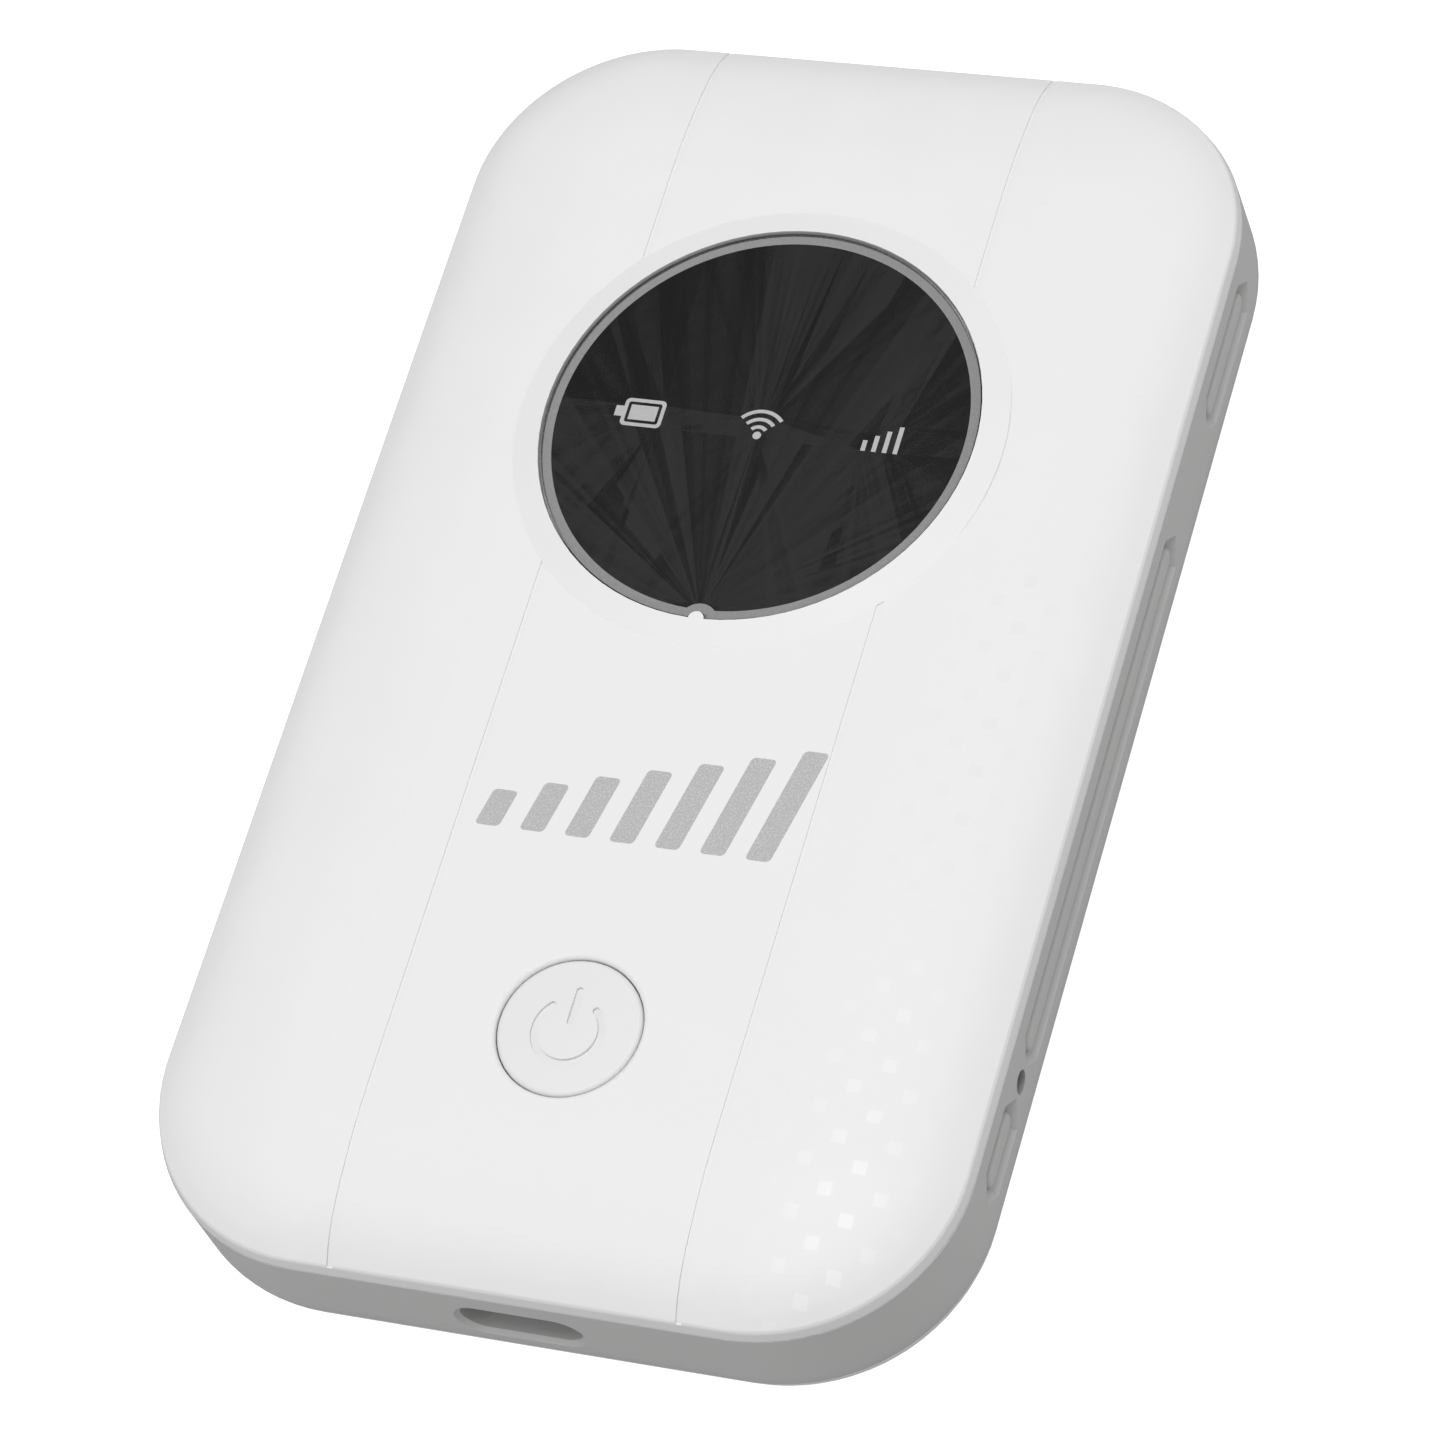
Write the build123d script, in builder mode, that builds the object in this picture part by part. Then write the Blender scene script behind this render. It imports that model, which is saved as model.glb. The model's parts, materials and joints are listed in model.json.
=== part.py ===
from build123d import *
import os

# Mobile hotspot: a pocket router with a pillow-shaped front cover, a round status display, one round
# power key, a mid frame with finger-grip channels, and a snap-on battery cover. Millimetres.
# It lies on its back: +Z out of the front, +Y towards the display end, +X to the right of the display.
# The origin is the centre of the back face, on the surface that the device lies on.

# ---- driving dimensions -------------------------------------------------------------------------
LENGTH = 105.5
WIDTH = 62.0
CORNER_R = 14.4
PARTING_Z = 11.4          # front cover meets the mid frame
SEAM_Z = 4.1              # mid frame meets the battery cover
SEAM_GAP = 0.05
BACK_EDGE_R = 5.2         # rounding of the back edge, shared by the frame and the battery cover
GAP = 0.2                 # clearance between pieces that move apart
TOUCH = 0.05              # clearance between stacked films and boards
FILM_T = 0.1

# front cover
LIP_H = 0.9               # drafted band between the parting line and the rim
LIP_FILLET_R = 0.5
LIP_SET_BACK = 0.05
TOP_EDGE_R = 0.12          # broken edge of the frame at the parting line
# rings of the pillow: distance in from the outline, height above the parting line
CROWN = [
    [0.27, LIP_H],
    [1.4, 1.7],
    [2.8, 2.42],
    [5.5, 3.2],
    [8.2, 3.67],
    [10.9, 3.95],
    [13.6, 4.05],
]
COVER_T = 1.4
FACE_H = CROWN[-1][1]
FACE_Z = PARTING_Z + FACE_H
GROOVE_X = 13.27
GROOVE_W = 0.45
GROOVE_D = 0.1

# round display
DISPLAY_Y = 17.55
LENS_R = 16.85
LENS_T = 0.5
LENS_PROUD = 0.5          # lens above the cover's face
LENS_CHAMFER = 0.08
COLLAR_R = 19.05          # foot of the raised collar round the lens
COLLAR_TOP_R = 17.05
COLLAR_H = 0.6
LENS_GAP = 0.15
LENS_TOP_Z = FACE_Z + LENS_PROUD
LENS_Z = LENS_TOP_Z - LENS_T
PRINT_R = 16.05           # black print; a grey border runs from here to the lens edge
BORDER_EDGE = 0.12
KEY_R = 0.6               # boss of the cover that keys the lens, in a notch of the lens
KEY_GAP = 0.08
ADHESIVE_T = 0.25
ADHESIVE_IN_R = 15.9
ADHESIVE_SPREAD = 0.05    # squeezed out past the lens edge
SEAT_Z = LENS_Z - FILM_T - ADHESIVE_T

# status icons, from the display's centre line
ICON_Y = 16.3             # foot of the icon row
STROKE = 0.3
CHARGE_INSET = 0.55       # filled middle of the battery icon
BATTERY_ICON_X = -9.3
BATTERY_ICON_W = 3.28
BATTERY_ICON_H = 2.4
BATTERY_ICON_R = 0.4
NUB_W = 0.62
NUB_H = 0.9
WIFI_X = 0.05
WIFI_DOT_R = 0.33
WIFI_RADII = [0.74, 1.4, 2.1]
WIFI_HALF_ANGLE = 49.0
SIGNAL_X = 8.3            # left edge of the first bar
BAR_W = 0.36
BAR_PITCH = 0.84
BAR_FIRST_H = 0.92
BAR_STEP_H = 0.47
BAR_COUNT = 4

# light guide behind the icons
GUIDE_W = 30.0
GUIDE_H = 8.0
GUIDE_WALL = 1.0
GUIDE_GAP = 0.5
CHAMBER_W = 8.6
DIFFUSER_T = 0.15
LED_W = 1.6
LED_H = 0.8
LED_T = 0.6

# power key
KEY_Y = -32.85
KEY_CAP_R = 5.4
KEY_HOLE_R = 5.48
KEY_TOP_Z = FACE_Z
KEY_DOME = 0.1            # rise of the convex cap
KEY_EDGE_R = 0.4
KEY_HOLE_ROUND = 0.35
KEY_FLANGE_R = 6.4
KEY_FLANGE_T = 0.7
KEY_CAP_T = 1.2
KEY_STEM_R = 1.4
KEY_TRAVEL = 0.3
HOLE_CHAMFER = 0.2
SYMBOL_R = 2.5
SYMBOL_W = 0.55
SYMBOL_D = 0.2
SYMBOL_GAP_ANGLE = 84.0
SYMBOL_BAR_L = 3.0
SYMBOL_DROP = 0.35        # symbol's centre below the key's
SYMBOL_BAR_Y = 2.0         # middle of the bar above the key's centre

# mid frame
FRAME_T = 2.0
DECK_TOP_Z = 7.0          # the board lies on the deck
DECK_T = 0.9
CHANNEL_Z = PARTING_Z - 3.6
CHANNEL_H = 3.8
CHANNEL_D = 0.75
CHANNEL_TAPER = 50.0
CHANNEL_TIP = 1.6         # length of the pointed ends
RIB_H = 1.8
RIB_TIP_GAP = 1.2
RIB_ROUND = 0.5
RIB_DROP = 0.1            # rib below the wall's face
CHANNELS = [[25.8, 39.0], [-27.5, 16.6], [-38.3, -29.9]]
RESET_Y = -28.7
RESET_Z = PARTING_Z - 3.5
RESET_HOLE_R = 0.9

# battery and its bay
BATTERY_W = 50.0
BATTERY_L = 60.0
BATTERY_T = 4.3
BATTERY_R = 2.0
BATTERY_Y = -2.0
BAY_GAP = 0.4
BAY_WALL_T = 1.0
PAD_W = 1.8
PAD_H = 2.4
PAD_PITCH = 3.0
PAD_COUNT = 3
LABEL_INSET = 3.0
CAP_L = 3.0               # plastic cap that carries the cell's pads

# battery cover
BACK_T = 1.2
BACK_INNER_R = 1.5
BATTERY_Z = BACK_T + GAP
TONGUE_H = 1.0            # locating rim of the cover inside the frame
TONGUE_T = 0.9
TONGUE_GAP = 0.15
SNAP_L = 7.0
SNAP_D = 0.1
SNAP_H = 0.5
SNAP_GROOVE_D = 0.3
SNAP_GAP = 0.3            # snap ridge above the seam
SNAP_YS = [-30.0, 0.0, 30.0]
NOTCH_W = 9.0             # fingernail notch in the cover's edge, at the left
NOTCH_D = 1.4
NOTCH_H = 1.0

# circuit board
PCB_T = 1.0
PCB_EDGE_GAP = 0.4
PCB_TOP_Z = DECK_TOP_Z + PCB_T
SCREW_X = 22.5
SCREW_Y = 44.0
SCREW_SHANK_R = 0.8
SCREW_HEAD_R = 1.6
SCREW_HEAD_T = 0.9
SCREW_L = 4.5
SCREW_HOLE_R = 1.1
BOSS_R = 2.2
BOSS_TOP_H = 2.4          # above the parting line, inside the cover's roof
PILOT_R = 0.85
DRIVE_W = 0.45
DRIVE_L = 1.8
DRIVE_D = 0.5

# USB-C receptacle
USB_Z = PARTING_Z - 3.9
USB_W = 8.94
USB_H = 3.26
USB_L = 7.3
USB_T = 0.3
USB_SET_BACK = 1.6        # from the end wall's outer face to the shell's mouth
USB_TONGUE_W = 6.69
USB_TONGUE_T = 0.7
USB_TONGUE_L = 4.45
USB_BASE_L = 1.5
PORT_W = 9.3
PORT_H = 3.5
PORT_FLARE = 0.35
PORT_TAPER = 45.0

# SIM holder, reached through a window in the battery bay's roof
SIM_X = -9.0
SIM_Y = -12.0
SIM_W = 14.0
SIM_L = 13.5
SIM_T = 1.0
SIM_SHELL_T = 0.15
SIM_SIDE_T = 0.4
SIM_STOP_L = 1.2
SIM_PAD_W = 1.2
SIM_PAD_L = 1.8
SIM_PAD_T = 0.1
SIM_PITCH = 2.54
SIM_ROW = 5.0
SIM_COLUMNS = 2
SIM_ROWS = 3
WINDOW_GAP = 0.6

# battery connector
CONNECTOR_W = 10.0
CONNECTOR_L = 4.0
CONNECTOR_Z = 2.4
BLADE_W = 1.0
BLADE_L = 1.0
BLADE_T = 0.25
BLADE_STEP = 0.9

# tactile switches
SWITCH_W = 4.6
SWITCH_T = 1.6
PLUNGER_R = 1.0
PLUNGER_H = 0.7
PLUNGER_IN = 0.4
BORE_GAP = 0.05
RESET_SWITCH_W = 4.2
RESET_SWITCH_D = 2.6
RESET_SWITCH_H = 1.6
RESET_TRAVEL = 0.25
RESET_TIP_R = 0.7
RESET_TIP_IN = 1.1        # tip below the wall's outer face

# shield cans on the board's top: name, centre x, centre y, width, length
SHIELDS = [["baseband_shield", 12.0, -12.0, 22.0, 22.0], ["radio_shield", -12.5, -9.0, 18.0, 24.0]]
SHIELD_H = 1.8
SHIELD_T = 0.2
SHIELD_R = 0.6

# chips on the board's top: name, centre x, centre y, width
CHIPS = [
    ["modem_chip", 8.5, -9.0, 12.0],
    ["memory_chip", 18.0, -17.5, 7.0],
    ["radio_chip", -12.5, -5.0, 7.0],
    ["power_chip", 13.0, -41.0, 5.0],
]
CHIP_T = 1.0
CHIP_CHAMFER = 0.1
THERMAL_PAD_W = 10.0
PASSIVE_W = 0.6
PASSIVE_L = 1.2
PASSIVE_H = 0.6
PASSIVE_COLUMNS = 6
PASSIVE_ROWS = 2
PASSIVE_PITCH = 2.4
PASSIVE_Y = 30.0
INDUCTOR_W = 3.2
INDUCTOR_T = 1.4
INDUCTOR_SITES = [(8.5, -46.5), (13.0, -46.5), (17.5, -41.0)]

# antennas, each a copper flex on a plastic carrier: name, centre x, centre y, width, length
ANTENNAS = [
    ["main", 0.0, 44.0, 34.0, 7.0],
    ["diversity", -26.0, 8.0, 4.2, 30.0],
    ["wifi", 26.3, 6.0, 3.8, 26.0],
]
CARRIER_H = 2.6
CARRIER_R = 0.5
FLEX_T = 0.12
FLEX_INSET = 0.5
FLEX_SLOT_W = 0.8
FLEX_SLOT_PLACE = 1 / 6     # slots from the centre line, as a share of the flex's short side


# ---- shared shapes ------------------------------------------------------------------------------
def outline(inset=0.0):
    """The body's outline, drawn in by inset, in the active sketch."""
    RectangleRounded(WIDTH - 2 * inset, LENGTH - 2 * inset, CORNER_R - inset)


def slab(low, high, inset=0.0, mode=Mode.ADD):
    """A prism of the body's outline between two heights."""
    with BuildSketch(Plane.XY.offset(low)) as section:
        outline(inset)
    extrude(section.sketch, amount=high - low, mode=mode)


def pillow(rings, inset=0.0, drop=0.0, mode=Mode.ADD):
    """The cover's swelling: rounded rectangles that shrink as they climb, lofted."""
    sections = []
    for distance, height in rings:
        with BuildSketch(Plane.XY.offset(PARTING_Z + height - drop)) as section:
            outline(distance + inset * (1 - distance / CROWN[-1][0]))
        sections.append(section.sketch)
    loft(sections, mode=mode)


def block(x, y, low, width, length, height, mode=Mode.ADD):
    """A box that stands on the height low, centred at x, y."""
    with BuildSketch(Plane.XY.offset(low)) as section:
        with Locations((x, y)):
            Rectangle(width, length)
    extrude(section.sketch, amount=height, mode=mode)


def disc(x, y, low, radius, height, mode=Mode.ADD):
    """A cylinder that stands on the height low."""
    with BuildSketch(Plane.XY.offset(low)) as section:
        with Locations((x, y)):
            Circle(radius)
    extrude(section.sketch, amount=height, mode=mode)


def stadium(y, width, height, depth, mode=Mode.ADD, taper=0.0):
    """A flat-sided rounded bar along Y at the port's height, from the plane at y towards +Y."""
    with BuildSketch(Plane(origin=(0, y, USB_Z), x_dir=(1, 0, 0), z_dir=(0, 1, 0))) as section:
        SlotOverall(width, height)
    extrude(section.sketch, amount=depth, mode=mode, taper=taper)


def finish(builder, name):
    """Labels a sub-part and writes it as STEP."""
    builder.part.label = name
    export_step(builder.part, f"parts/{name}.step")


os.makedirs("parts", exist_ok=True)
LIP = [[LIP_SET_BACK, 0.0], CROWN[0]]
BOSS_SITES = [(sx * SCREW_X, sy * SCREW_Y) for sx in (-1, 1) for sy in (-1, 1)]
LENS_HOLE_R = LENS_R + LENS_GAP
NOTCH_Y = DISPLAY_Y - LENS_HOLE_R
UNDER_COVER_Z = FACE_Z - COVER_T
PCB_Z = DECK_TOP_Z
FRAME_INSIDE = FRAME_T + PCB_EDGE_GAP


# ---- front cover --------------------------------------------------------------------------------
with BuildPart() as lowered_face:
    # what lies more than a groove's depth below the face
    pillow(LIP, GROOVE_D, GROOVE_D)
    pillow(CROWN, GROOVE_D, GROOVE_D)

with BuildPart() as grooves:
    for side in (-1, 1):
        block(side * GROOVE_X, 0, PARTING_Z + LIP_H - GROOVE_D, GROOVE_W, LENGTH, FACE_H)
    add(lowered_face.part, mode=Mode.SUBTRACT)
    disc(0, DISPLAY_Y, PARTING_Z, COLLAR_R, FACE_H + LIP_H, mode=Mode.SUBTRACT)

with BuildPart() as front_cover:
    pillow(LIP)
    pillow(CROWN)
    lip_edges = front_cover.edges().filter_by_position(
        Axis.Z, PARTING_Z + LIP_H - TOUCH, PARTING_Z + LIP_H + TOUCH
    )
    fillet(lip_edges, LIP_FILLET_R)
    pillow(CROWN, COVER_T, COVER_T, mode=Mode.SUBTRACT)
    # collar that rises to the lens, its seat inside, and the thicker floor under it
    with Locations((0, DISPLAY_Y, FACE_Z)):
        Cone(COLLAR_R, COLLAR_TOP_R, COLLAR_H, align=(Align.CENTER, Align.CENTER, Align.MIN))
    disc(0, DISPLAY_Y, SEAT_Z, LENS_HOLE_R, LENS_PROUD + COVER_T, mode=Mode.SUBTRACT)
    # boss that keys the lens, flush with the collar
    with BuildSketch(Plane.XY.offset(SEAT_Z)) as key_boss:
        with Locations((0, NOTCH_Y)):
            Circle(KEY_R)
        with Locations((0, DISPLAY_Y)):
            Circle(COLLAR_TOP_R, mode=Mode.INTERSECT)
    extrude(key_boss.sketch, amount=FACE_Z + COLLAR_H - SEAT_Z)
    block(0, DISPLAY_Y, UNDER_COVER_Z - COVER_T, GUIDE_W + 2 * GUIDE_GAP, GUIDE_H + 2 * GUIDE_GAP,
          2 * COVER_T + LIP_H, mode=Mode.SUBTRACT)
    # power key opening
    disc(0, KEY_Y, UNDER_COVER_Z - COVER_T, KEY_HOLE_R, 2 * COVER_T + LIP_H, mode=Mode.SUBTRACT)
    fillet(front_cover.edges().filter_by(GeomType.CIRCLE).filter_by(
        lambda edge: abs(edge.radius - KEY_HOLE_R) < TOUCH).sort_by(Axis.Z)[-1], KEY_HOLE_ROUND)
    add(grooves.part, mode=Mode.SUBTRACT)
    # screw bosses that reach down to the board
    for x, y in BOSS_SITES:
        disc(x, y, PCB_TOP_Z, BOSS_R, PARTING_Z + BOSS_TOP_H - PCB_TOP_Z)
        disc(x, y, PCB_TOP_Z, PILOT_R, PARTING_Z - PCB_TOP_Z, mode=Mode.SUBTRACT)
finish(front_cover, "front_cover")


# ---- display ------------------------------------------------------------------------------------
with BuildPart() as display_lens:
    disc(0, DISPLAY_Y, LENS_Z, LENS_R, LENS_T)
    disc(0, NOTCH_Y, LENS_Z, KEY_R + KEY_GAP, LENS_T, mode=Mode.SUBTRACT)
    chamfer(display_lens.faces().sort_by(Axis.Z)[-1].edges(), LENS_CHAMFER)
finish(display_lens, "display_lens")


def print_outline(inset):
    """The lens's outline with its keying notch, drawn in by inset, in the active sketch."""
    with Locations((0, DISPLAY_Y)):
        Circle(LENS_R - inset)
    with Locations((0, NOTCH_Y)):
        Circle(KEY_R + KEY_GAP + inset, mode=Mode.SUBTRACT)


def icons(mode=Mode.ADD):
    """Battery, wireless and signal icons, in the active sketch."""
    mid_y = ICON_Y + BATTERY_ICON_H / 2
    with BuildSketch(mode=Mode.PRIVATE) as battery_icon:
        with Locations((BATTERY_ICON_X, mid_y)):
            RectangleRounded(BATTERY_ICON_W, BATTERY_ICON_H, BATTERY_ICON_R)
            RectangleRounded(
                BATTERY_ICON_W - 2 * STROKE, BATTERY_ICON_H - 2 * STROKE, BATTERY_ICON_R / 2, mode=Mode.SUBTRACT
            )
            Rectangle(BATTERY_ICON_W - 2 * CHARGE_INSET, BATTERY_ICON_H - 2 * CHARGE_INSET)
        with Locations((BATTERY_ICON_X - BATTERY_ICON_W / 2 - NUB_W / 2, mid_y)):
            Rectangle(NUB_W, NUB_H)
    with BuildSketch(mode=Mode.PRIVATE) as wifi_icon:
        with Locations((WIFI_X, ICON_Y + WIFI_DOT_R)):
            Circle(WIFI_DOT_R)
        for radius in WIFI_RADII:
            with BuildSketch(mode=Mode.PRIVATE) as arc_band:
                with BuildLine():
                    CenterArc(
                        (WIFI_X, ICON_Y + WIFI_DOT_R), radius, 90 - WIFI_HALF_ANGLE, 2 * WIFI_HALF_ANGLE
                    )
                trace(line_width=STROKE)
            add(arc_band.sketch)
    with BuildSketch(mode=Mode.PRIVATE) as signal_icon:
        for bar in range(BAR_COUNT):
            height = BAR_FIRST_H + bar * BAR_STEP_H
            with Locations((SIGNAL_X + bar * BAR_PITCH, ICON_Y)):
                Rectangle(BAR_W, height, align=(Align.MIN, Align.MIN))
    for icon in (battery_icon, wifi_icon, signal_icon):
        add(icon.sketch, mode=mode)


with BuildPart() as display_print:
    with BuildSketch(Plane.XY.offset(LENS_Z - FILM_T)):
        print_outline(LENS_R - PRINT_R)
        icons(mode=Mode.SUBTRACT)
    extrude(amount=FILM_T)
finish(display_print, "display_print")

with BuildPart() as icon_print:
    with BuildSketch(Plane.XY.offset(LENS_Z - FILM_T)):
        icons()
    extrude(amount=FILM_T)
finish(icon_print, "icon_print")

with BuildPart() as display_border:
    with BuildSketch(Plane.XY.offset(LENS_Z - FILM_T)):
        print_outline(BORDER_EDGE)
        with BuildSketch(mode=Mode.PRIVATE) as inner_print:
            print_outline(LENS_R - PRINT_R)
        add(inner_print.sketch, mode=Mode.SUBTRACT)
    extrude(amount=FILM_T)
finish(display_border, "display_border")

with BuildPart() as display_adhesive:
    with BuildSketch(Plane.XY.offset(SEAT_Z)):
        print_outline(-ADHESIVE_SPREAD)
        with Locations((0, DISPLAY_Y)):
            Circle(ADHESIVE_IN_R, mode=Mode.SUBTRACT)
    extrude(amount=ADHESIVE_T)
finish(display_adhesive, "display_adhesive")

with BuildPart() as icon_diffuser:
    block(0, DISPLAY_Y, LENS_Z - FILM_T - DIFFUSER_T, GUIDE_W - GUIDE_WALL, GUIDE_H, DIFFUSER_T)
finish(icon_diffuser, "icon_diffuser")

with BuildPart() as light_guide:
    block(0, DISPLAY_Y, PCB_TOP_Z, GUIDE_W, GUIDE_H, LENS_Z - FILM_T - DIFFUSER_T - PCB_TOP_Z)
    for chamber in (-1, 0, 1):
        block(chamber * (CHAMBER_W + GUIDE_WALL), DISPLAY_Y, PCB_TOP_Z, CHAMBER_W, GUIDE_H - 2 * GUIDE_WALL,
              LENS_TOP_Z - PCB_TOP_Z, mode=Mode.SUBTRACT)
finish(light_guide, "light_guide")

with BuildPart() as status_leds:
    for lamp in (-1, 0, 1):
        block(lamp * (CHAMBER_W + GUIDE_WALL), DISPLAY_Y, PCB_TOP_Z, LED_W, LED_H, LED_T)
finish(status_leds, "status_leds")


# ---- power key ----------------------------------------------------------------------------------
flange_top = UNDER_COVER_Z - GAP
symbol_y = KEY_Y - SYMBOL_DROP
plunger_top = PCB_TOP_Z + SWITCH_T + PLUNGER_H

with BuildPart() as power_button:
    # turned profile of the cap: stem, flange, rim and shallow dome
    with BuildSketch(Plane.XZ.offset(-KEY_Y)) as profile:
        with BuildLine():
            TangentArc((0, KEY_TOP_Z), (KEY_CAP_R, KEY_TOP_Z - KEY_DOME), tangent=(1, 0))
            Polyline(
                (0, KEY_TOP_Z),
                (0, plunger_top),
                (KEY_STEM_R, plunger_top),
                (KEY_STEM_R, flange_top - KEY_FLANGE_T),
                (KEY_FLANGE_R, flange_top - KEY_FLANGE_T),
                (KEY_FLANGE_R, flange_top),
                (KEY_CAP_R, flange_top),
                (KEY_CAP_R, KEY_TOP_Z - KEY_DOME),
            )
        make_face()
        fillet(profile.vertices().sort_by(Axis.Y)[-2], KEY_EDGE_R)
    revolve(axis=Axis((0, KEY_Y, 0), (0, 0, 1)))
    # hollow above the flange, under the dome
    disc(0, KEY_Y, flange_top - KEY_FLANGE_T, KEY_CAP_R - KEY_CAP_T,
         KEY_TOP_Z - KEY_DOME - KEY_CAP_T / 2 - flange_top + KEY_FLANGE_T, mode=Mode.SUBTRACT)
    disc(0, KEY_Y, plunger_top, KEY_STEM_R, KEY_TOP_Z - KEY_DOME - plunger_top)
    # engraved power symbol
    with BuildSketch(Plane.XY.offset(KEY_TOP_Z - KEY_DOME / 4 - SYMBOL_D)) as symbol:
        with BuildLine():
            CenterArc((0, symbol_y), SYMBOL_R, 90 + SYMBOL_GAP_ANGLE / 2, 360 - SYMBOL_GAP_ANGLE)
        trace(line_width=SYMBOL_W)
        with Locations((0, symbol_y)):
            with PolarLocations(SYMBOL_R, 2, 90 - SYMBOL_GAP_ANGLE / 2, SYMBOL_GAP_ANGLE, endpoint=True):
                Circle(SYMBOL_W / 2)
        with Locations((0, symbol_y + SYMBOL_BAR_Y)):
            SlotOverall(SYMBOL_BAR_L, SYMBOL_W, rotation=90)
    extrude(amount=KEY_DOME + SYMBOL_D, mode=Mode.SUBTRACT)
finish(power_button, "power_button")

with BuildPart() as power_plunger:
    disc(0, KEY_Y, PCB_TOP_Z + SWITCH_T - PLUNGER_IN, PLUNGER_R, PLUNGER_IN + PLUNGER_H)
finish(power_plunger, "power_plunger")

with BuildPart() as power_switch:
    block(0, KEY_Y, PCB_TOP_Z, SWITCH_W, SWITCH_W, SWITCH_T)
    disc(0, KEY_Y, PCB_TOP_Z + SWITCH_T - PLUNGER_IN - KEY_TRAVEL - TOUCH, PLUNGER_R + BORE_GAP,
         SWITCH_T, mode=Mode.SUBTRACT)
    fillet(power_switch.edges().filter_by(Axis.Z), HOLE_CHAMFER)
finish(power_switch, "power_switch")

with BuildPart() as key_gasket:
    # soft foam ring on the board that keeps dust out below the key
    gasket_top = flange_top - KEY_FLANGE_T - KEY_TRAVEL - GAP
    disc(0, KEY_Y, PCB_TOP_Z, KEY_FLANGE_R, gasket_top - PCB_TOP_Z)
    disc(0, KEY_Y, PCB_TOP_Z, KEY_CAP_R - KEY_CAP_T, gasket_top - PCB_TOP_Z, mode=Mode.SUBTRACT)
finish(key_gasket, "key_gasket")


# ---- mid frame ----------------------------------------------------------------------------------
def grip_channel(side, start, end):
    """A pointed finger-grip channel in a side wall, sloping in, with a half-round rib on its floor."""
    half = CHANNEL_H / 2
    wall = Plane(origin=(side * WIDTH / 2, (start + end) / 2, CHANNEL_Z), x_dir=(0, 1, 0), z_dir=(-side, 0, 0))
    reach = (end - start) / 2
    with BuildSketch(wall) as mouth:
        with BuildLine():
            Polyline(
                (-reach, 0), (-reach + CHANNEL_TIP, half), (reach - CHANNEL_TIP, half), (reach, 0),
                (reach - CHANNEL_TIP, -half), (-reach + CHANNEL_TIP, -half), (-reach, 0),
            )
        make_face()
    extrude(mouth.sketch, amount=CHANNEL_D, taper=CHANNEL_TAPER, mode=Mode.SUBTRACT)
    with BuildSketch(wall.offset(RIB_DROP)) as rib:
        SlotOverall(2 * (reach - RIB_TIP_GAP), RIB_H)
    extrude(rib.sketch, amount=CHANNEL_D)


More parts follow.
